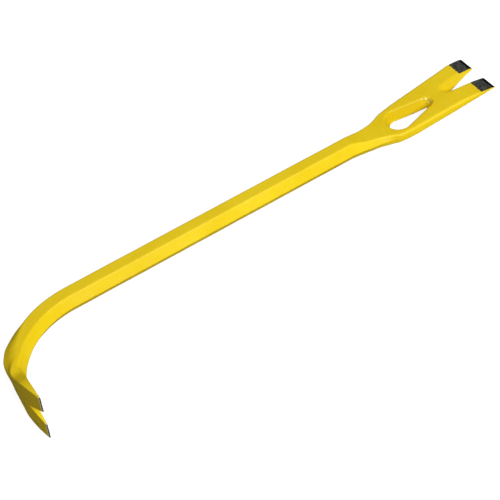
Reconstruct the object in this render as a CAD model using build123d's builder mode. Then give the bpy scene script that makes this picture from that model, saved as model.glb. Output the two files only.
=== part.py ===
from build123d import *
import os
from math import cos, radians, sin

os.makedirs("parts", exist_ok=True)

# A double-ended pry bar forged from one length of hexagon bar.
# Modelled along its own axes first: X runs down the shank towards the fork, Z stands square to the
# fork's faces, and the hook bends in the XY plane.  "rest" then lays the bar down the way it lies.

# ---------------------------------------------------------------- driving dimensions, mm
hex_af = 22.2            # hexagon bar, 7/8 in across flats
hex_edge = 1.0           # worn corner of the hexagon, along each flat
shank_len = 340.0        # straight bar between the bend and the fork's neck

bend_r = 108.3           # centreline radius of the gooseneck
bend_deg = 50.0

claw_tip_y = -112.1      # sharp end of the claw
claw_apex_y = -90.8      # bottom of the nail slot
claw_bare_y = -107.6     # paint ends here, ground edge begins
claw_mouth = 19.0        # slot width at the sharp end
claw_start_y = -72.0

neck_end_x = 396.0       # blade of the fork begins
fork_root_x = 479.0      # bottom of the V between the tines, on the underside
fork_bevel_x = 467.0     # the same V where it opens on the upper face
fork_bare_x = 495.0      # paint ends here, ground tips begin
fork_tip_x = 513.9
fork_y = 0.8             # the forged fork sits a little off the shank's axis
fork_mouth = 17.0        # gap between the tips on the underside
fork_mouth_top = 19.0    # gap between the tips on the upper face

hole_x = 404.3           # round end of the teardrop nail hole
hole_tail_x = 442.5      # narrow end of the teardrop
hole_r_top, tail_r_top = 13.6, 6.2
hole_r_low, tail_r_low = 9.4, 1.6

# plan of the claw: (y, x on the outer face, x on the inner face, half of the blade's height)
claw_plan = [(-72.0, -96.9, -85.5, 19.1), (-80.2, -97.2, -87.6, 24.3), (-86.9, -96.8, -88.6, 27.1),
             (-92.4, -96.1, -89.2, 28.5), (-102.5, -94.4, -90.4, 30.1), (-112.1, -92.4, -91.6, 31.0)]

# side of the fork blade: (x, upper face z, lower face z)
fork_side = [(396.0, 2.3, -9.8), (444.0, 6.8, -4.6), (468.0, 9.0, -1.3),
             (492.0, 10.1, 3.2), (509.0, 8.4, 5.6), (513.9, 6.9, 6.1)]
# outline of the fork blade: (x, half width)
fork_plan = [(396.0, 21.3), (408.0, 22.9), (444.0, 25.0), (468.0, 26.5), (480.0, 27.5),
             (492.0, 28.8), (504.0, 29.9), (513.9, 29.9)]
# neck: (x, upper z, lower z, half width of the flat, half width at the side ridge, ridge z)
neck = [(340.0, 11.1, -11.1, 6.41, 12.82, 0.0), (356.0, 6.2, -11.0, 8.8, 13.9, -2.0),
        (372.0, 3.9, -10.7, 11.6, 15.2, -2.9), (384.0, 3.1, -10.3, 15.0, 17.6, -3.4),
        (396.0, 2.3, -9.8, 19.8, 21.3, -3.7)]

rest_roll = -10.33       # turn about the shank as the bar lies on its side on a flat surface, deg
rest_pitch = -0.25       # tilt of the shank as it lies, deg


def worn(points, cut=hex_edge):
    """The same outline with every corner taken off by a small flat."""
    out = []
    for i, p in enumerate(points):
        for q in (points[i - 1], points[(i + 1) % len(points)]):
            dx, dy = q[0] - p[0], q[1] - p[1]
            length = (dx * dx + dy * dy) ** 0.5
            k = min(cut / length, 0.35)
            out.append((p[0] + dx * k, p[1] + dy * k))
    return out


def six(out_x, flat_x, in_x, in_flat_x, half):
    """Six-sided section: outer ridge, two flat ends, inner ridge, and the two below."""
    return worn([(out_x, 0), (flat_x, half), (in_flat_x, half),
                 (in_x, 0), (in_flat_x, -half), (flat_x, -half)])


hex_r = hex_af / 3 ** 0.5
hexagon = six(hex_r, hex_r / 2, -hex_r, -hex_r / 2, hex_af / 2)


# ---------------------------------------------------------------- shank
with BuildPart() as shank:
    with BuildSketch(Plane.YZ):
        Polygon(*hexagon, align=None)
    extrude(amount=shank_len)

# ---------------------------------------------------------------- gooseneck bend
with BuildPart() as gooseneck:
    with BuildSketch(Plane.YZ):
        Polygon(*hexagon, align=None)
    revolve(axis=Axis((0, -bend_r, 0), (0, 0, 1)), revolution_arc=bend_deg)


# ---------------------------------------------------------------- fishtail claw
def claw_blade(y_from, y_to, side=0):
    """A length of the claw blade, whole (side 0) or one tine (side +1 upper, -1 lower)."""
    with BuildSketch(Plane.XY) as plan:
        Polygon(*[(xo, y) for y, xo, xi, h in claw_plan],
                *[(xi, y) for y, xo, xi, h in reversed(claw_plan)], align=None)
    extrude(plan.sketch, amount=40, both=True)
    with BuildSketch(Plane.YZ) as outline:
        Polygon(*[(y, h) for y, xo, xi, h in claw_plan],
                *[(y, -h) for y, xo, xi, h in reversed(claw_plan)], align=None)
    extrude(outline.sketch, amount=120, both=True, mode=Mode.INTERSECT)
    with BuildSketch(Plane.YZ) as slot:
        Polygon((claw_apex_y, 0.0), (claw_tip_y - 1, claw_mouth / 2), (claw_tip_y - 1, -claw_mouth / 2),
                align=None)
    extrude(slot.sketch, amount=120, both=True, mode=Mode.SUBTRACT)
    z_mid = 20.0 * side
    z_all = 40.0 if side else 80.0
    with Locations((-91, (y_from + y_to) / 2, z_mid)):
        Box(40, abs(y_to - y_from), z_all, mode=Mode.INTERSECT)


def hook_plane(deg):
    """Section plane square to the bent bar, local x pointing away from the bend's centre."""
    s, c = sin(radians(deg)), cos(radians(deg))
    return Plane(origin=(-bend_r * s, -bend_r + bend_r * c, 0), x_dir=(-s, c, 0), z_dir=(-c, -s, 0))


def cross_plane(y):
    return Plane(origin=(0, y, 0), x_dir=(-1, 0, 0), z_dir=(0, -1, 0))


with BuildPart() as claw_heel:
    claw_blade(claw_start_y, claw_apex_y)
    with BuildSketch(hook_plane(bend_deg)) as bar_end:
        Polygon(*hexagon, align=None)
    with BuildSketch(cross_plane(-59.0)) as halfway:
        Polygon(*six(96.4, 92.6, 80.2, 84.2, 11.3), align=None)
    with BuildSketch(cross_plane(claw_start_y)) as blade_end:
        Polygon(*six(97.1, 96.8, 85.3, 85.6, 19.1), align=None)
    loft([bar_end.sketch, halfway.sketch, blade_end.sketch], ruled=True)

with BuildPart() as claw_tine_upper:
    claw_blade(claw_apex_y, claw_bare_y, 1)

with BuildPart() as claw_tine_lower:
    claw_blade(claw_apex_y, claw_bare_y, -1)

with BuildPart() as claw_tip_upper:
    claw_blade(claw_bare_y, claw_tip_y, 1)

with BuildPart() as claw_tip_lower:
    claw_blade(claw_bare_y, claw_tip_y, -1)

# ---------------------------------------------------------------- neck swaged down into the fork
with BuildPart() as fork_neck:
    for x, z_up, z_low, flat, ridge, z_ridge in neck:
        drift = fork_y * (x - shank_len) / (neck_end_x - shank_len)
        with BuildSketch(Plane.YZ.offset(x)):
            with Locations((drift, 0)):
                Polygon(*worn([(ridge, z_ridge), (flat, z_up), (-flat, z_up),
                               (-ridge, z_ridge), (-flat, z_low), (flat, z_low)]), align=None)
    loft(ruled=True)


# ---------------------------------------------------------------- fork
fork_plane = Plane(origin=(0, fork_y, 0), x_dir=(1, 0, 0), z_dir=(0, 0, 1))


def fork_piece(x_from, x_to, side=0):
    """A length of the fork blade, whole (side 0) or one tine (side +1 or -1 in Y)."""
    with BuildSketch(Plane.XZ) as profile:
        Polygon(*[(x, up) for x, up, low in fork_side],
                *[(x, low) for x, up, low in reversed(fork_side)], align=None)
    extrude(profile.sketch, amount=40, both=True)
    with BuildSketch(fork_plane) as outline:
        Polygon(*fork_plan, *[(x, -h) for x, h in reversed(fork_plan)], align=None)
    extrude(outline.sketch, amount=30, both=True, mode=Mode.INTERSECT)
    with Locations(((x_from + x_to) / 2, fork_y + 30.0 * side, 0)):
        Box(x_to - x_from, 60.0 if side else 120.0, 60, mode=Mode.INTERSECT)


def cut_notch():
    """The V between the tines, wider on the upper face than underneath."""
    with BuildSketch(fork_plane.offset(13)) as upper:
        Polygon((fork_bevel_x - 3, 0), (fork_tip_x + 1, fork_mouth_top / 2 + 1.5),
                (fork_tip_x + 1, -fork_mouth_top / 2 - 1.5), align=None)
    with BuildSketch(fork_plane) as lower:
        Polygon((fork_root_x, 0), (fork_tip_x + 1, fork_mouth / 2 - 1),
                (fork_tip_x + 1, -fork_mouth / 2 + 1), align=None)
    loft([upper.sketch, lower.sketch], ruled=True, mode=Mode.SUBTRACT)
    extrude(lower.sketch, amount=-20, mode=Mode.SUBTRACT)


with BuildPart() as fork_blade:
    fork_piece(neck_end_x, fork_root_x)
    # teardrop nail hole with dished walls
    with BuildSketch(Plane.XY.offset(9)):
        with Locations((hole_x, 0)):
            Circle(hole_r_top + 1.2)
        with Locations((hole_tail_x, 0)):
            Circle(tail_r_top + 1.2)
        make_hull()
    with BuildSketch(Plane.XY.offset(-8)):
        with Locations((hole_x, 0)):
            Circle(hole_r_low)
        with Locations((hole_tail_x, 0)):
            Circle(tail_r_low)
        make_hull()
    loft(ruled=True, mode=Mode.SUBTRACT)
    with BuildSketch(Plane.XY):
        with Locations((hole_x, 0)):
            Circle(hole_r_low)
        with Locations((hole_tail_x, 0)):
            Circle(tail_r_low)
        make_hull()
    extrude(amount=20, both=True, mode=Mode.SUBTRACT)
    cut_notch()

with BuildPart() as fork_tine_left:
    fork_piece(fork_root_x, fork_bare_x, 1)
    cut_notch()

with BuildPart() as fork_tine_right:
    fork_piece(fork_root_x, fork_bare_x, -1)
    cut_notch()

with BuildPart() as fork_tip_left:
    fork_piece(fork_bare_x, fork_tip_x, 1)
    cut_notch()

with BuildPart() as fork_tip_right:
    fork_piece(fork_bare_x, fork_tip_x, -1)
    cut_notch()

# ---------------------------------------------------------------- lay the bar down and export
zones = {"shank": shank, "gooseneck": gooseneck, "claw_heel": claw_heel,
         "claw_tine_upper": claw_tine_upper, "claw_tine_lower": claw_tine_lower,
         "claw_tip_upper": claw_tip_upper, "claw_tip_lower": claw_tip_lower,
         "fork_neck": fork_neck, "fork_blade": fork_blade,
         "fork_tine_left": fork_tine_left, "fork_tine_right": fork_tine_right,
         "fork_tip_left": fork_tip_left, "fork_tip_right": fork_tip_right}

# the lowest points touch z = 0 and the origin is under the middle of the whole bar
lying = Location((0, 0, 0), (rest_roll, rest_pitch, 0))
room = Compound(children=[made.part.moved(lying) for made in zones.values()]).bounding_box()
rest = Location((-room.center().X, -room.center().Y, -room.min.Z)) * lying
print("bar axis start in the resting frame:", rest.position, "size", room.size)

for name, made in zones.items():
    body = made.part.moved(rest)
    body.label = name
    export_step(body, "parts/" + name + ".step")
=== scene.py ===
import math

import bmesh
import bpy
import numpy as np
from mathutils import Matrix, Vector


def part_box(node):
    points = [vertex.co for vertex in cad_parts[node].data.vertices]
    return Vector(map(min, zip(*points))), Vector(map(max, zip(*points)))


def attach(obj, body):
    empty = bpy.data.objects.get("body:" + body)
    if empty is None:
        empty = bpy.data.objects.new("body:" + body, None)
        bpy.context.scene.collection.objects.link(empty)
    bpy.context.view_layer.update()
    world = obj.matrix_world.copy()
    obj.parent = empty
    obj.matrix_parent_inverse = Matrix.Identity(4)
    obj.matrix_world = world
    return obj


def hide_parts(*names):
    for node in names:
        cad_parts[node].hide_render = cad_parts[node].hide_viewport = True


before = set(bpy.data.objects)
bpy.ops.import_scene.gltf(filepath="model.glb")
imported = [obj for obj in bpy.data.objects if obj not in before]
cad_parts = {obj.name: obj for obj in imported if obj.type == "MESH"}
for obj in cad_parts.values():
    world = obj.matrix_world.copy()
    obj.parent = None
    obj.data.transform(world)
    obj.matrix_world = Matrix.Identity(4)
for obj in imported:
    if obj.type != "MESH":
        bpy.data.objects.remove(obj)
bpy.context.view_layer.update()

# A forged pry bar, painted yellow, with bare ground tips.  Its shape is worked out as one smooth
# solid in the bar's own axes, in millimetres: X down the shank towards the fork, Z square to the
# fork's faces, the hook bending in the XY plane towards -Y.  The last step lays it where the CAD lies.

# ---------------------------------------------------------------- driving dimensions, mm
SHANK_LEN = 340.0
HALF_AF = 11.1                       # half the hexagon's width across flats
HALF_AC = HALF_AF / math.cos(math.radians(30))
BEND_R = 108.3

REST_ROLL = math.radians(-10.33)     # how the bar lies on the floor
REST_PITCH = math.radians(-0.25)

CLAW_TIP_Y = -112.1
CLAW_BARE_Y = -108.2                 # paint stops here
CLAW_APEX_Y = -90.8
CLAW_SLOT = math.radians(23.0)       # half angle of the nail slot

FORK_TIP_X = 513.6
FORK_BARE_X = 494.6
FORK_Y = 0.8                         # the forged fork sits a little off the shank's axis
NOTCH_X = 479.0                      # bottom of the V, on the underside
NOTCH_SLOPE = 0.245                  # half gap gained per mm towards the tips
NOTCH_DRAFT = 0.72                   # how far the left wall leans back, per mm of height
NOTCH_DRAFT_NEAR = 0.50              # and the right wall
NOTCH_RAMP = 0.80                    # how far its closed end leans further back
HOLE_X, HOLE_R = 405.1, 8.9          # teardrop, wide end, on the underside
TAIL_X, TAIL_R = 442.5, 0.9          # teardrop, narrow end
HOLE_DRAFT = 0.50

# outer and inner lines of the claw, seen from above, from the end of the bend past the sharp edge
OUTER_LINE = [(-89.2, -28.2), (-92.2, -33.6), (-94.0, -39.3), (-95.0, -45.3), (-95.7, -51.1),
              (-96.3, -59.7), (-96.9, -70.9), (-97.2, -80.2), (-96.8, -86.9), (-96.1, -92.4),
              (-94.4, -102.5), (-92.5, -112.1), (-90.8, -120.0)]
INNER_LINE = [(-80.0, -56.5), (-83.8, -65.0), (-87.3, -79.0), (-89.0, -91.0), (-90.0, -102.5),
              (-90.6, -112.1), (-91.0, -120.0)]
# half height of the claw, and of the bar that it grows from, along Y
CLAW_HEIGHT = [(-120.0, 31.4), (-112.1, 31.0), (-102.5, 30.1), (-92.4, 28.5), (-86.9, 27.1),
               (-80.2, 24.3), (-70.9, 18.3), (-64.0, 13.4), (-57.0, 11.3), (-48.0, 11.1), (20.0, 11.1)]

# the straight bar, neck and fork: X, upper face, lower face, half width at the side ridge, height of
# the ridge, slope of the side facets in degrees
SECTIONS = [(-20.0, 11.1, -11.1, HALF_AC, 0.0, 30.0), (336.0, 11.1, -11.1, HALF_AC, 0.0, 30.0),
            (348.0, 8.3, -11.6, 13.1, -0.8, 29.0), (360.0, 5.3, -11.3, 13.8, -2.2, 27.0),
            (372.0, 4.0, -10.8, 15.0, -2.8, 23.0), (384.0, 3.1, -10.3, 17.4, -3.4, 12.0),
            (394.0, 2.4, -9.9, 21.0, -3.8, 4.0), (408.0, 3.4, -8.9, 22.9, -3.0, 1.0),
            (444.0, 6.8, -4.6, 25.0, 1.0, 0.0), (468.0, 9.0, -1.3, 26.5, 3.5, 0.0),
            (480.0, 9.8, 0.7, 27.4, 5.0, 0.0), (492.0, 10.3, 3.2, 28.4, 6.5, 0.0),
            (504.0, 10.9, 5.4, 28.8, 8.0, 0.0), (514.0, 11.3, 6.1, 28.8, 8.0, 0.0),
            (525.0, 11.9, 6.3, 28.8, 8.0, 0.0)]
TIP_BEVELS = [(494.0, 10.2, -0.12), (509.6, 8.3, -0.31)]     # x, z, slope of the ground faces

OUTER_ARC, INNER_ARC = 44.0, 52.0    # degrees of bend before the claw's own lines begin
HEX_FACET = np.radians(30)           # slope of the hook's side facets
HAMMERED_FACET = np.radians(20)      # more slope where the bend's outer corner is hammered flatter
HAMMERED_OUT = 2.6                   # and how far that facet stands further out
SLOT_ROUND, SLOT_OPEN = 0.5, 0.5     # these round the nail slot's closed end
NOTCH_R = 0.5                        # radius at the bottom of the V
HOLE_DEPTH = 30.0                    # more than the blade's thickness
UNEVEN = 0.10                        # height of the forging's slow waves

# stretches over which one form passes into another, along X or Y
HAMMERED_RUN = (48.0, 84.0)
OUTER_FACET_RUN = (-60.0, -38.0)
INNER_FACET_RUN = (-72.0, -50.0)
CLAW_RUN = (-110.0, -70.0)
NECK_RUN = (375.0, 405.0)
OFF_AXIS_RUN = (375.0, 400.0)
TINE_RUN = (475.0, 512.0)
NOTCH_RUN = (482.0, 508.0)

# how wide the corners are rounded
CLAW_SOFT, HOOK_SOFTER, HAMMERED_SOFTER = 0.55, 0.85, 2.5
OUTER_RIDGE_SOFT = 2.0
SLOT_SOFT = 0.7
CLAW_END_SOFT = 0.25
SHANK_SOFT, NECK_SOFTER, TINE_SHARPER = 1.4, 2.4, 2.9
BEVEL_SOFT = 0.35
HOLE_SOFT = 1.7
NOTCH_SOFT, NOTCH_SHARPER = 1.6, 1.1
FORK_END_SOFT = 0.3

SLOPE_STEP = 0.5                     # distance over which a profile's slope is taken

# grid lines of the surface: from, to, spacing; fine at the sharp ends, coarse on the plain shank
GRID_X = [(-100.5, -95.0, 0.9), (-95.0, -89.0, 0.4), (-89.0, 4.0, 0.9), (4.0, 332.0, 3.0),
          (332.0, 491.0, 0.9), (491.0, 515.5, 0.45)]
GRID_Y = [(-113.5, -104.0, 0.45), (-104.0, 32.0, 0.9)]
GRID_Z = [(-33.0, 3.0, 0.9), (3.0, 12.0, 0.45), (12.0, 33.0, 0.9)]


# ---------------------------------------------------------------- small maths
def smooth_curve(points, x):
    """Monotone cubic through points (x ascending), each row x, then any number of values."""
    p = np.array(sorted(points), float)
    xs, ys = p[:, 0], p[:, 1:]
    h = np.diff(xs)[:, None]
    d = np.diff(ys, axis=0) / h
    m = np.zeros_like(ys)
    m[0], m[-1] = d[0], d[-1]
    same = d[:-1] * d[1:] > 0
    w1, w2 = 2 * h[1:] + h[:-1], h[1:] + 2 * h[:-1]
    with np.errstate(divide="ignore", invalid="ignore"):
        inner = (w1 + w2) / (w1 / d[:-1] + w2 / d[1:])
    m[1:-1] = np.where(same, inner, 0.0)
    x = np.clip(np.asarray(x, float), xs[0], xs[-1])
    i = np.clip(np.searchsorted(xs, x, "right") - 1, 0, len(xs) - 2)
    span = xs[i + 1] - xs[i]
    t = (x - xs[i]) / span
    out = []
    for k in range(ys.shape[1]):
        y0, y1, m0, m1 = ys[i, k], ys[i + 1, k], m[i, k], m[i + 1, k]
        out.append((2 * t**3 - 3 * t**2 + 1) * y0 + (t**3 - 2 * t**2 + t) * span * m0
                   + (3 * t**2 - 2 * t**3) * y1 + (t**3 - t**2) * span * m1)
    return out


def smax(a, b, k):
    """Larger of two distances, with the corner between them rounded over about k."""
    h = np.maximum(k - np.abs(a - b), 0.0) / k
    return np.maximum(a, b) + h * h * k * 0.25


def fade(x, lo, hi):
    """Smooth step from 0 at lo to 1 at hi."""
    t = np.clip((x - lo) / (hi - lo), 0.0, 1.0)
    return t * t * (3 - 2 * t)


def waves(x, y, z):
    """Slow unevenness of a forged surface, about -1 to 1."""
    return (np.sin(0.131 * x + 1.3 + 0.9 * np.sin(0.047 * x)) * np.sin(0.37 * y + 0.6)
            + np.sin(0.083 * x - 0.21 * y + 2.1) * np.sin(0.41 * z + 1.1)
            + 0.6 * np.sin(0.29 * x + 0.33 * z + 0.4) * np.sin(0.27 * y - 0.23 * x + 0.9)) * 0.45


def guide(radius, degrees, stations):
    """A line of the hook seen from above: an arc of the bend, then a spline through the stations."""
    arc = [(-radius * math.sin(t), -BEND_R + radius * math.cos(t))
           for t in np.radians(np.linspace(-6, degrees, 57))]
    pts = np.array([arc[-3]] + [arc[-1]] + list(stations), float)
    run = [tuple(p) for p in arc]
    for i in range(1, len(pts) - 2):
        p0, p1, p2, p3 = pts[i - 1], pts[i], pts[i + 1], pts[i + 2]
        count = max(3, int(np.hypot(*(p2 - p1)) / 1.2))
        for t in np.linspace(0, 1, count, endpoint=False)[1 if i == 1 else 0:]:
            run.append(tuple(0.5 * (2 * p1 + (p2 - p0) * t + (2 * p0 - 5 * p1 + 4 * p2 - p3) * t**2
                                    + (3 * p1 - p0 - 3 * p2 + p3) * t**3)))
    run += [tuple(pts[-2]), tuple(pts[-1])]
    return np.array(run)


def line_distance(line, x, y):
    """Signed distance from a plan line: positive on the right hand when walking towards the claw."""
    shape = np.broadcast(x, y).shape
    px = np.broadcast_to(x, shape).reshape(-1)
    py = np.broadcast_to(y, shape).reshape(-1)
    best = np.full(px.shape, 1e9)
    sign = np.ones(px.shape)
    for (ax, ay), (bx, by) in zip(line[:-1], line[1:]):
        dx, dy = bx - ax, by - ay
        t = np.clip(((px - ax) * dx + (py - ay) * dy) / (dx * dx + dy * dy), 0, 1)
        qx, qy = px - ax - t * dx, py - ay - t * dy
        d = qx * qx + qy * qy
        near = d < best
        best = np.where(near, d, best)
        sign = np.where(near, np.where(qx * dy - qy * dx > 0, 1.0, -1.0), sign)
    return (np.sqrt(best) * sign).reshape(shape)


OUTER = guide(BEND_R + HALF_AC, OUTER_ARC, OUTER_LINE)
INNER = guide(BEND_R - HALF_AC, INNER_ARC, INNER_LINE)


# ---------------------------------------------------------------- the solid, as a distance field
def hook_field(x, y, z):
    """Gooseneck and claw: negative inside."""
    high = np.abs(z)
    out = line_distance(OUTER, x, y)
    inn = -line_distance(INNER, x, y)
    # at the end of the bend the outer corner is hammered flatter than a plain hexagon's
    bent = fade(-x, *HAMMERED_RUN) * fade(y, *OUTER_FACET_RUN)
    facet_o = HEX_FACET * fade(y, *OUTER_FACET_RUN) + HAMMERED_FACET * bent
    facet_i = HEX_FACET * fade(y, *INNER_FACET_RUN)
    outer = np.cos(facet_o) * out + np.sin(facet_o) * high - HAMMERED_OUT * bent
    inner = np.cos(facet_i) * inn + np.sin(facet_i) * high
    top, = smooth_curve(CLAW_HEIGHT, y)
    further, = smooth_curve(CLAW_HEIGHT, y - SLOPE_STEP)
    lean = 1 / np.sqrt(1 + ((further - top) / SLOPE_STEP) ** 2)
    soft = CLAW_SOFT + HOOK_SOFTER * fade(y, *CLAW_RUN)
    roof = (high - top) * lean
    body = np.maximum(smax(outer, roof, soft + HAMMERED_SOFTER * bent), smax(inner, roof, soft))
    body = smax(body, out, OUTER_RIDGE_SOFT)
    # the nail slot
    gap = np.sqrt(z * z + SLOT_ROUND) - SLOT_OPEN
    slot = gap * math.cos(CLAW_SLOT) - (CLAW_APEX_Y - y) * math.sin(CLAW_SLOT)
    body = smax(body, -slot, SLOT_SOFT)
    return smax(body, CLAW_TIP_Y - y, CLAW_END_SOFT)


def straight_field(x, y, z):
    """Shank, neck and fork: negative inside."""
    up, low, ridge, ridge_z, facet = smooth_curve(SECTIONS, x)
    next_up, next_low, *_ = smooth_curve(SECTIONS, x + SLOPE_STEP)
    top = (z - up) / np.sqrt(1 + ((next_up - up) / SLOPE_STEP) ** 2)
    bottom = (low - z) / np.sqrt(1 + ((next_low - low) / SLOPE_STEP) ** 2)
    facet = np.radians(facet)
    across = np.abs(y - FORK_Y * fade(x, *OFF_AXIS_RUN))
    side = np.cos(facet) * (across - ridge) + np.sin(facet) * np.abs(z - ridge_z)
    soft = SHANK_SOFT + NECK_SOFTER * fade(x, *NECK_RUN) - TINE_SHARPER * fade(x, *TINE_RUN)
    for bx, bz, slope in TIP_BEVELS:
        top = smax(top, (z - bz - slope * (x - bx)) / math.hypot(1, slope), BEVEL_SOFT)
    body = smax(np.maximum(top, bottom), side, soft)
    # teardrop nail hole, its walls leaning outwards towards the upper face
    lift = np.clip(z - low, 0.0, HOLE_DEPTH)
    hole = (teardrop(x, y) - HOLE_DRAFT * lift) / math.hypot(1, HOLE_DRAFT)
    body = smax(body, -hole, HOLE_SOFT)
    # V between the tines, leaning the same way
    notch = wedge(x + NOTCH_RAMP * lift, y - FORK_Y)
    lean = np.where(y > FORK_Y, NOTCH_DRAFT, NOTCH_DRAFT_NEAR)
    notch = (notch - lean * lift) / np.hypot(1, lean)
    body = smax(body, -notch, NOTCH_SOFT - NOTCH_SHARPER * fade(x, *NOTCH_RUN))
    return smax(body, x - FORK_TIP_X, FORK_END_SOFT)


def teardrop(x, y):
    """Distance from the hull of a big and a small circle on the X axis."""
    y = np.abs(y)
    length = TAIL_X - HOLE_X
    s = (HOLE_R - TAIL_R) / length
    c = math.sqrt(1 - s * s)
    px = x - HOLE_X
    along = c * px - s * y
    return np.where(along < 0, np.hypot(px, y) - HOLE_R,
                    np.where(along > c * length, np.hypot(px - length, y) - TAIL_R,
                             s * px + c * y - HOLE_R))


def wedge(x, y):
    """Distance from a V that opens towards +X, its point at the notch's bottom."""
    half = math.atan(NOTCH_SLOPE)
    px, y = x - NOTCH_X, np.abs(y)
    along = px * math.cos(half) + y * math.sin(half)
    edge = y * math.cos(half) - px * math.sin(half)
    return np.where(along > 0, edge, np.hypot(px, y)) - NOTCH_R


def bar_field(x, y, z):
    """The whole bar, on a grid of rows in x, y and z or on a list of points."""
    shape = np.broadcast(x, y, z).shape
    if len(shape) == 3:
        cut = int(np.searchsorted(x[:, 0, 0], 0.0))
        f = np.concatenate([hook_field(x[:cut], y, z), straight_field(x[cut:], y, z)])
    else:
        f = np.empty(shape)
        back = x < 0
        f[back] = hook_field(x[back], y[back], z[back])
        f[~back] = straight_field(x[~back], y[~back], z[~back])
    return f - UNEVEN * waves(x, y, z)


# ---------------------------------------------------------------- surface of the solid as quads
def steps(*runs):
    """Grid lines: each run is (from, to, spacing)."""
    parts = [np.linspace(a, b, max(1, round((b - a) / d)), endpoint=False) for a, b, d in runs]
    return np.concatenate(parts + [[runs[-1][1]]])


def quads_from_field(xs, ys, zs):
    """Surface net: one vertex per cell that the surface crosses, then moved onto the surface."""
    field = bar_field(xs[:, None, None], ys[None, :, None], zs[None, None, :]).astype(np.float32)
    inside = field < 0
    verts, index = cell_vertices(field, inside, (xs, ys, zs))
    for _ in range(3):
        verts = onto_surface(verts)
    return verts, cell_faces(inside, index)


def cell_vertices(field, inside, grid):
    """The middle of each crossed cell's edge crossings, and the number of the vertex in each cell."""
    corners = [(i, j, k) for i in (0, 1) for j in (0, 1) for k in (0, 1)]
    count = sum(inside[i:inside.shape[0] - 1 + i, j:inside.shape[1] - 1 + j,
                       k:inside.shape[2] - 1 + k].astype(np.int8) for i, j, k in corners)
    cells = np.argwhere((count > 0) & (count < 8))
    index = np.full(count.shape, -1, np.int64)
    index[tuple(cells.T)] = np.arange(len(cells))
    value = {c: field[cells[:, 0] + c[0], cells[:, 1] + c[1], cells[:, 2] + c[2]] for c in corners}
    total, hits = np.zeros((len(cells), 3)), np.zeros(len(cells))
    for a in corners:
        for axis in range(3):
            if a[axis]:
                continue
            b = tuple(1 if n == axis else a[n] for n in range(3))
            va, vb = value[a], value[b]
            cross = (va < 0) != (vb < 0)
            t = np.where(cross, va / np.where(cross, va - vb, 1.0), 0.0)
            for n in range(3):
                lo = grid[n][cells[:, n] + a[n]]
                if n == axis:
                    lo = lo + t * (grid[n][cells[:, n] + 1] - grid[n][cells[:, n]])
                total[:, n] += np.where(cross, lo, 0.0)
            hits += cross
    return total / hits[:, None], index


def cell_faces(inside, index):
    """A quad round each grid edge that the surface crosses, facing outwards."""
    faces = []
    for axis in range(3):
        u, v = (axis + 1) % 3, (axis + 2) % 3
        first = [slice(None)] * 3
        second = [slice(None)] * 3
        first[axis], second[axis] = slice(0, -1), slice(1, None)
        change = inside[tuple(first)] != inside[tuple(second)]
        at = np.argwhere(change)
        at = at[(at[:, u] > 0) & (at[:, v] > 0)]
        flip = inside[tuple(at.T)]
        ring = []
        for du, dv in ((1, 1), (0, 1), (0, 0), (1, 0)):
            cell = at.copy()
            cell[:, u] -= du
            cell[:, v] -= dv
            ring.append(index[tuple(cell.T)])
        ring = np.stack(ring, 1)
        ring[~flip] = ring[~flip][:, ::-1]
        faces.append(ring)
    return np.concatenate(faces)


def field_slope(p, eps=0.02):
    """Gradient of the field, which points straight out of the surface."""
    return np.stack([(bar_field(*(p + d).T) - bar_field(*(p - d).T)) / (2 * eps)
                     for d in np.eye(3) * eps], 1)


def onto_surface(p, reach=0.25):
    """One Newton step towards the surface, no longer than reach."""
    slope = field_slope(p)
    move = -bar_field(*p.T)[:, None] * slope / np.maximum((slope**2).sum(1), 0.2)[:, None]
    size = np.linalg.norm(move, axis=1)
    return p + move * np.minimum(1.0, reach / np.maximum(size, 1e-9))[:, None]


# ---------------------------------------------------------------- from the bar's axes to the frame
MANY_SIDED = 7                       # a face with this many sides or more is a closed cut end


def place_in_frame():
    """Matrix from bar millimetres to frame metres, set by the CAD shank."""
    lo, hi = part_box("shank")
    turn = Matrix.Rotation(REST_ROLL, 4, "X") @ Matrix.Rotation(REST_PITCH, 4, "Y")
    middle = turn @ Vector((SHANK_LEN / 2000, 0, 0))
    return Matrix.Translation((lo + hi) / 2 - middle) @ turn @ Matrix.Scale(0.001, 4)


PLACE = place_in_frame()


def make_mesh(name, verts, faces):
    mesh = bpy.data.meshes.new(name)
    mesh.from_pydata(verts.tolist(), [], faces.tolist())
    mesh.validate()
    mesh.update()
    return mesh


def split_off(source, name, planes):
    """A copy of the bar kept on the far side of each plane (point, normal), cut ends closed."""
    bm = bmesh.new()
    bm.from_mesh(source)
    for point, normal in planes:
        geom = bm.verts[:] + bm.edges[:] + bm.faces[:]
        cut = bmesh.ops.bisect_plane(bm, geom=geom, plane_co=point, plane_no=normal,
                                     clear_inner=True, dist=1e-5)
        edges = [e for e in cut["geom_cut"] if isinstance(e, bmesh.types.BMEdge)]
        bmesh.ops.holes_fill(bm, edges=edges)
    bmesh.ops.recalc_face_normals(bm, faces=bm.faces[:])
    mesh = bpy.data.meshes.new(name)
    bm.to_mesh(mesh)
    bm.free()
    outward = field_slope(np.array([v.co for v in mesh.vertices])) @ np.array(PLACE.to_3x3()).T
    mesh.transform(PLACE)
    for p in mesh.polygons:
        p.use_smooth = len(p.vertices) < MANY_SIDED
    # shaded by the solid's own slope, so no seam shows where two pieces meet
    outward /= np.linalg.norm(outward, axis=1)[:, None]
    mesh.normals_split_custom_set_from_vertices(outward.tolist())
    obj = bpy.data.objects.new(name, mesh)
    bpy.context.scene.collection.objects.link(obj)
    return obj


# ---------------------------------------------------------------- materials
SPECULAR = 0.16                      # low, for the paint and the ground steel alike


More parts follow.
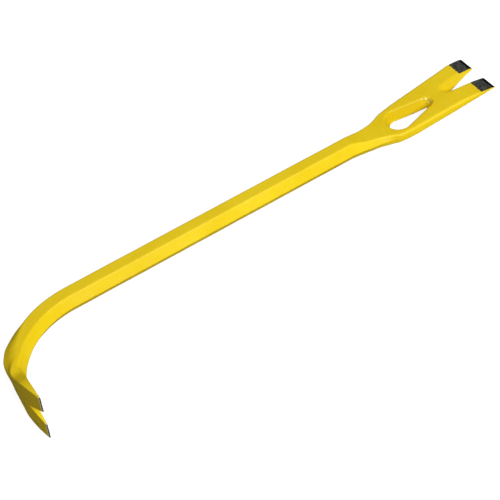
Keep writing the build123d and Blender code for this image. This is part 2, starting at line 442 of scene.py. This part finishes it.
class Nodes:
    """Short way to write a node tree."""

    def __init__(self, name):
        self.mat = bpy.data.materials.new(name)
        self.mat.use_nodes = True
        self.tree = self.mat.node_tree
        self.bsdf = self.tree.nodes["Principled BSDF"]
        self.out = self.tree.nodes["Material Output"]
        self.bsdf.inputs["Specular IOR Level"].default_value = SPECULAR

    def add(self, kind, inputs=(), **props):
        node = self.tree.nodes.new(kind)
        for key, value in props.items():
            setattr(node, key, value)
        for key, value in dict(inputs).items():
            if isinstance(value, bpy.types.NodeSocket):
                self.tree.links.new(value, node.inputs[key])
            else:
                node.inputs[key].default_value = value
        return node

    def link(self, a, socket):
        self.tree.links.new(a, self.bsdf.inputs[socket])

    def noise(self, coords, scale, detail=2.0, rough=0.5):
        return self.add("ShaderNodeTexNoise", {"Vector": coords, "Scale": scale, "Detail": detail,
                                               "Roughness": rough}).outputs["Fac"]

    def remap(self, value, a, b, c=0.0, d=1.0):
        node = self.add("ShaderNodeMapRange", {"Value": value, 1: a, 2: b, 3: c, 4: d},
                        interpolation_type="SMOOTHSTEP")
        return node.outputs["Result"]

    def mix(self, factor, a, b):
        node = self.add("ShaderNodeMix", data_type="RGBA")
        for socket, value in (("Factor_Float", factor), ("A_Color", a), ("B_Color", b)):
            target = next(s for s in node.inputs if s.identifier == socket)
            if isinstance(value, bpy.types.NodeSocket):
                self.tree.links.new(value, target)
            else:
                target.default_value = value
        return next(s for s in node.outputs if s.identifier == "Result_Color")

    def math(self, operation, a, b):
        node = self.add("ShaderNodeMath", {0: a, 1: b}, operation=operation)
        return node.outputs[0]

    def bump(self, height, strength, distance, normal=None):
        inputs = {"Height": height, "Strength": strength, "Distance": distance}
        if normal is not None:
            inputs["Normal"] = normal
        return self.add("ShaderNodeBump", inputs).outputs["Normal"]


PAINT = (0.83, 0.615, 0.012, 1)
PAINT_DEEP = (0.80, 0.57, 0.006, 1)
PAINT_PALE = (0.88, 0.68, 0.05, 1)
CHIP = (0.022, 0.018, 0.013, 1)
# worn spots where the coat has chipped off, in the bar's axes: x, y, z, radius
CHIPS = [(428.0, 4.2, -6.0, 1.1), (431.0, 3.6, -5.6, 0.7), (424.6, -10.8, 4.9, 0.9),
         (472.5, -6.0, 8.8, 0.7), (-95.5, -112.0, 14.0, 0.8)]

# painted highlights: pale spots on the hole's narrow end, where its lip catches the light
PAINTED_HIGHLIGHT = (0.95, 0.88, 0.50, 1)
PAINTED_HIGHLIGHTS = [(446.6, 1.5, 2.0, 1.0), (448.2, -0.8, 5.6, 0.9), (445.4, 4.6, 5.4, 1.2),
          (441.0, 6.4, 6.0, 0.9)]
CLAW_EDGE_HIGHLIGHT = 1.6                      # mm of the claw's edge painted pale, a painted highlight where its end bevel catches the light

STEEL_DARK = (0.030, 0.030, 0.030, 1)
STEEL_LIGHT = (0.125, 0.125, 0.110, 1)
GRIND_LINES = (0.26, 0.25, 0.23, 1)
BLACK_FACET = (0.007, 0.007, 0.007, 1)


def paint_layers(n, at):
    """Colour, roughness and normal of the powder coat: mottled, with orange peel over forged steel."""
    broad = n.noise(at, 22.0, 2.0)
    fine = n.noise(at, 260.0, 3.0)
    colour = n.mix(n.remap(broad, 0.35, 0.68), PAINT_DEEP, PAINT)
    colour = n.mix(n.remap(fine, 0.58, 0.80, 0.0, 0.45), colour, PAINT_PALE)
    ragged = n.noise(at, 900.0, 2.0)
    # dark chips where the coat is off, and pale spots of painted highlight on the hole's narrow end
    spots = [(CHIP, *chip) for chip in CHIPS] + [(PAINTED_HIGHLIGHT, *painted_highlight) for painted_highlight in PAINTED_HIGHLIGHTS]
    for tint, x, y, z, radius in spots:
        spot = n.add("ShaderNodeVectorMath", {0: at, 1: PLACE @ Vector((x, y, z))},
                     operation="DISTANCE").outputs["Value"]
        edge = n.math("ADD", spot, n.math("MULTIPLY", ragged, radius * 0.0012))
        colour = n.mix(n.remap(edge, radius * 0.0014, radius * 0.0019), tint, colour)
    # painted highlight: the coat is painted pale along the claw's cutting edge, where its end bevel
    # catches the light
    down = (0, -1, 0)
    start = (PLACE.to_3x3() * 1000.0 @ Vector(down)).dot(PLACE @ Vector((0, CLAW_TIP_Y + CLAW_EDGE_HIGHLIGHT, 0)))
    edge_highlight = n.remap(along(n, at, down), start - 0.0005, start + 0.0004, 0.0, 0.7)
    colour = n.mix(edge_highlight, colour, PAINTED_HIGHLIGHT)
    rough = n.remap(n.noise(at, 90.0, 3.0), 0.3, 0.75, 0.26, 0.40)
    normal = n.bump(n.noise(at, 70.0, 2.0), 0.25, 0.0006)
    normal = n.bump(n.noise(at, 620.0, 1.0), 0.15, 0.00016, normal)
    return colour, rough, normal


def steel_layers(n, at, facing):
    """Colour, roughness and normal of dark steel, coarsely ground."""
    stretched = n.add("ShaderNodeMapping", {"Vector": at, "Scale": (2600.0, 260.0, 700.0)}).outputs[0]
    lines = n.noise(stretched, 1.0, 3.0, 0.6)
    cloud = n.noise(at, 320.0, 3.0, 0.6)
    colour = n.mix(n.remap(cloud, 0.3, 0.72), STEEL_DARK, STEEL_LIGHT)
    colour = n.mix(n.remap(lines, 0.55, 0.8, 0.0, 0.5), colour, GRIND_LINES)
    # steel faces turned towards the bar's +X are coloured black, such as the narrow facet at the very
    # end
    colour = n.mix(n.remap(along(n, facing, (1, 0, 0)), 0.17, 0.23), colour, BLACK_FACET)
    rough = n.remap(cloud, 0.3, 0.75, 0.40, 0.60)
    return colour, rough, n.bump(lines, 0.35, 0.00012)


def paint_material():
    n = Nodes("yellow_powder_coat")
    at = n.add("ShaderNodeTexCoord").outputs["Object"]
    for value, socket in zip(paint_layers(n, at), ("Base Color", "Roughness", "Normal")):
        n.link(value, socket)
    return n.mat


def tip_material(name, bare):
    """Ground steel where bare(n, at, facing) says so, and the powder coat elsewhere."""
    n = Nodes(name)
    at = n.add("ShaderNodeTexCoord").outputs["Object"]
    facing = n.add("ShaderNodeNewGeometry").outputs["Normal"]
    mask = bare(n, at, facing)
    coat, ground = paint_layers(n, at), steel_layers(n, at, facing)
    n.link(n.mix(mask, coat[0], ground[0]), "Base Color")
    rough = n.math("ADD", n.math("MULTIPLY", mask, n.math("SUBTRACT", ground[1], coat[1])), coat[1])
    n.link(rough, "Roughness")
    n.link(n.mix(mask, coat[2], ground[2]), "Normal")
    n.link(n.math("MULTIPLY", mask, 0.5), "Metallic")
    return n.mat


def along(n, vector, bar_direction):
    """How far a vector points along one of the bar's own directions."""
    axis = (PLACE.to_3x3() * 1000.0) @ Vector(bar_direction)
    return n.add("ShaderNodeVectorMath", {0: vector, 1: axis}, operation="DOT_PRODUCT").outputs["Value"]


def fork_bare(n, at, facing):
    """The two ground faces and the blunt end; the side and notch walls keep their paint."""
    flat = n.math("ABSOLUTE", along(n, facing, (0, 0, 1)), 0.0)
    flat = n.remap(flat, 0.76, 0.86)
    end = n.remap(along(n, facing, (1, 0, 0)), 0.80, 0.90)
    wobble = n.math("MULTIPLY", n.noise(at, 420.0, 2.0), 0.0016)
    start = (PLACE @ Vector((FORK_BARE_X, 0, 0))).x
    reached = n.math("SUBTRACT", along(n, at, (1, 0, 0)), wobble)
    past = n.remap(reached, start - 0.0003, start + 0.0001)
    return n.math("MULTIPLY", n.math("MAXIMUM", flat, end), past)


def claw_bare(n, at, facing):
    """The inner side and the very edge are ground; the outer face is painted right down."""
    inner = n.remap(along(n, facing, (1, 0, 0)), 0.30, 0.45)
    end = n.remap(along(n, facing, (0, -1, 0)), 0.60, 0.75)
    return n.math("MAXIMUM", inner, end)


# ---------------------------------------------------------------- build the visible pieces
def build_bar():
    """One surface, cut where the paint stops and between the tines, into five pieces."""
    verts, faces = quads_from_field(steps(*GRID_X), steps(*GRID_Y), steps(*GRID_Z))
    whole = make_mesh("whole_bar", verts, faces)
    axis = (0, 0, 0)
    fork_cut = (FORK_BARE_X, 0, 0)
    claw_cut = (0, CLAW_BARE_Y, 0)
    paint = paint_material()
    fork_steel = tip_material("ground_fork_steel", fork_bare)
    claw_steel = tip_material("ground_claw_steel", claw_bare)
    pieces = [
        ("painted_bar", [(fork_cut, (-1, 0, 0)), (claw_cut, (0, 1, 0))],
         ["shank", "gooseneck", "claw_heel", "claw_tine_upper", "claw_tine_lower", "fork_neck",
          "fork_blade", "fork_tine_left", "fork_tine_right"], paint, "yellow_powder_coat"),
        ("fork_end_left", [(fork_cut, (1, 0, 0)), (axis, (0, 1, 0))],
         ["fork_tip_left"], fork_steel, "ground_steel"),
        ("fork_end_right", [(fork_cut, (1, 0, 0)), (axis, (0, -1, 0))],
         ["fork_tip_right"], fork_steel, "ground_steel"),
        ("claw_end_upper", [(claw_cut, (0, -1, 0)), (axis, (0, 0, 1))],
         ["claw_tip_upper"], claw_steel, "ground_steel"),
        ("claw_end_lower", [(claw_cut, (0, -1, 0)), (axis, (0, 0, -1))],
         ["claw_tip_lower"], claw_steel, "ground_steel")]
    for name, planes, nodes, material, slot in pieces:
        obj = split_off(whole, name, planes)
        obj.data.materials.append(material)
        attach(obj, "root")
        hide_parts(*nodes)
    bpy.data.meshes.remove(whole)


build_bar()


# ---------------------------------------------------------------- floor, light and camera
FLOOR_HALF = 20.0                    # half the floor's side, m
FLOOR_GREY = (0.34, 0.34, 0.34, 1)   # what the lighting meets, dark enough to bounce little light
FLOOR_GLOW = 0.86                    # added for the camera, which brings the floor up to white

DOME_TOP = (-0.16, 0.15, 0.97)       # the brightest direction of the dome
DOME_RANGE = (0.25, 1.0)             # how closely a direction points there, dim to bright
DOME_STRENGTH = (0.03, 0.82)         # dim and bright


def camera_sees(tree, socket, lit, seen):
    """Mix two shaders: what the lighting meets, and the plain white that the camera looks at."""
    path = tree.nodes.new("ShaderNodeLightPath")
    mix = tree.nodes.new("ShaderNodeMixShader")
    tree.links.new(path.outputs["Is Camera Ray"], mix.inputs[0])
    tree.links.new(lit, mix.inputs[1])
    tree.links.new(seen, mix.inputs[2])
    tree.links.new(mix.outputs[0], socket)


def pale_floor():
    mesh = bpy.data.meshes.new("floor")
    s = FLOOR_HALF
    mesh.from_pydata([(-s, -s, 0), (s, -s, 0), (s, s, 0), (-s, s, 0)], [], [(0, 1, 2, 3)])
    floor = bpy.data.objects.new("floor", mesh)
    bpy.context.scene.collection.objects.link(floor)
    n = Nodes("floor_white")
    n.bsdf.inputs["Base Color"].default_value = FLOOR_GREY
    n.bsdf.inputs["Roughness"].default_value = 0.9
    n.bsdf.inputs["Specular IOR Level"].default_value = 0.0
    glow = n.tree.nodes.new("ShaderNodeEmission")
    glow.inputs["Strength"].default_value = FLOOR_GLOW
    both = n.tree.nodes.new("ShaderNodeAddShader")
    n.tree.links.new(n.bsdf.outputs[0], both.inputs[0])
    n.tree.links.new(glow.outputs[0], both.inputs[1])
    camera_sees(n.tree, n.out.inputs["Surface"], n.bsdf.outputs[0], both.outputs[0])
    mesh.materials.append(n.mat)
    floor.visible_glossy = False         # the paint's gloss picks up only the lights and the dome


def soft_dome():
    """World light: bright overhead, dim near the horizon, plain white to look at."""
    world = bpy.data.worlds.new("studio")
    bpy.context.scene.world = world
    world.use_nodes = True
    tree = world.node_tree
    lit, seen = tree.nodes["Background"], tree.nodes.new("ShaderNodeBackground")
    lit.inputs["Color"].default_value = (1, 1, 1, 1)
    toward = tree.nodes.new("ShaderNodeTexCoord").outputs["Generated"]
    above = tree.nodes.new("ShaderNodeVectorMath")
    above.operation = "DOT_PRODUCT"
    above.inputs[1].default_value = DOME_TOP
    tree.links.new(toward, above.inputs[0])
    dome = tree.nodes.new("ShaderNodeMapRange")
    dome.interpolation_type = "SMOOTHSTEP"
    for socket, value in enumerate(DOME_RANGE + DOME_STRENGTH, start=1):
        dome.inputs[socket].default_value = value
    tree.links.new(above.outputs["Value"], dome.inputs["Value"])
    tree.links.new(dome.outputs["Result"], lit.inputs["Strength"])
    seen.inputs["Color"].default_value = (1, 1, 1, 1)
    camera_sees(tree, tree.nodes["World Output"].inputs["Surface"], lit.outputs[0], seen.outputs[0])
    bpy.context.scene.view_settings.view_transform = "Standard"


def area_light(name, direction, distance, size, power):
    """A soft square light aimed at the middle of the bar."""
    data = bpy.data.lights.new(name, "AREA")
    data.shape = "SQUARE"
    data.size = size
    data.energy = power
    light = bpy.data.objects.new(name, data)
    bpy.context.scene.collection.objects.link(light)
    away = Vector(direction).normalized()
    light.location = Vector((0, 0, 0.02)) + away * distance
    light.rotation_euler = away.to_track_quat("Z", "Y").to_euler()
    return light


# the photo's viewing angle, in the bar's own axes: degrees and millimetres
BEARING, ELEVATION, ROLL = -30.07, 47.50, -5.78
DISTANCE = 1640.17
LENS = 115.18
AIM = (230.0, 0, 0)                  # a point on the shank
AIM_LEFT, AIM_DOWN = 13.87, 57.40    # how far left of it and below it the camera looks


def camera():
    """Stand off from a point on the shank, at the bearing, elevation and roll above."""
    bearing, height, roll = (math.radians(v) for v in (BEARING, ELEVATION, ROLL))
    back = Vector((math.sin(bearing) * math.cos(height), -math.cos(bearing) * math.cos(height),
                   math.sin(height)))
    level = Vector((math.cos(bearing), math.sin(bearing), 0))
    over = back.cross(level)
    right = math.cos(roll) * level + math.sin(roll) * over
    up = -math.sin(roll) * level + math.cos(roll) * over
    at = Vector(AIM) - AIM_LEFT * right - AIM_DOWN * up + DISTANCE * back
    data = bpy.data.cameras.new("camera")
    data.lens = LENS
    data.sensor_width = 36.0
    data.clip_end = 100.0
    cam = bpy.data.objects.new("camera", data)
    bpy.context.scene.collection.objects.link(cam)
    turn = PLACE.to_3x3() * 1000.0
    axes = Matrix([turn @ right, turn @ up, turn @ back]).transposed()
    cam.matrix_world = Matrix.Translation(PLACE @ at) @ axes.to_4x4()
    bpy.context.scene.camera = cam


pale_floor()
soft_dome()
area_light("key", direction=(0.18, -0.61, 0.76), distance=2.4, size=1.4, power=43.0)
area_light("fill", direction=(0.05, -0.98, 0.10), distance=2.4, size=0.4, power=15.0)
glint = area_light("glint", direction=(-0.60, 0.18, 0.72), distance=2.2, size=0.30, power=12.0)
glint.visible_diffuse = False            # it only picks out gloss on edges
camera()
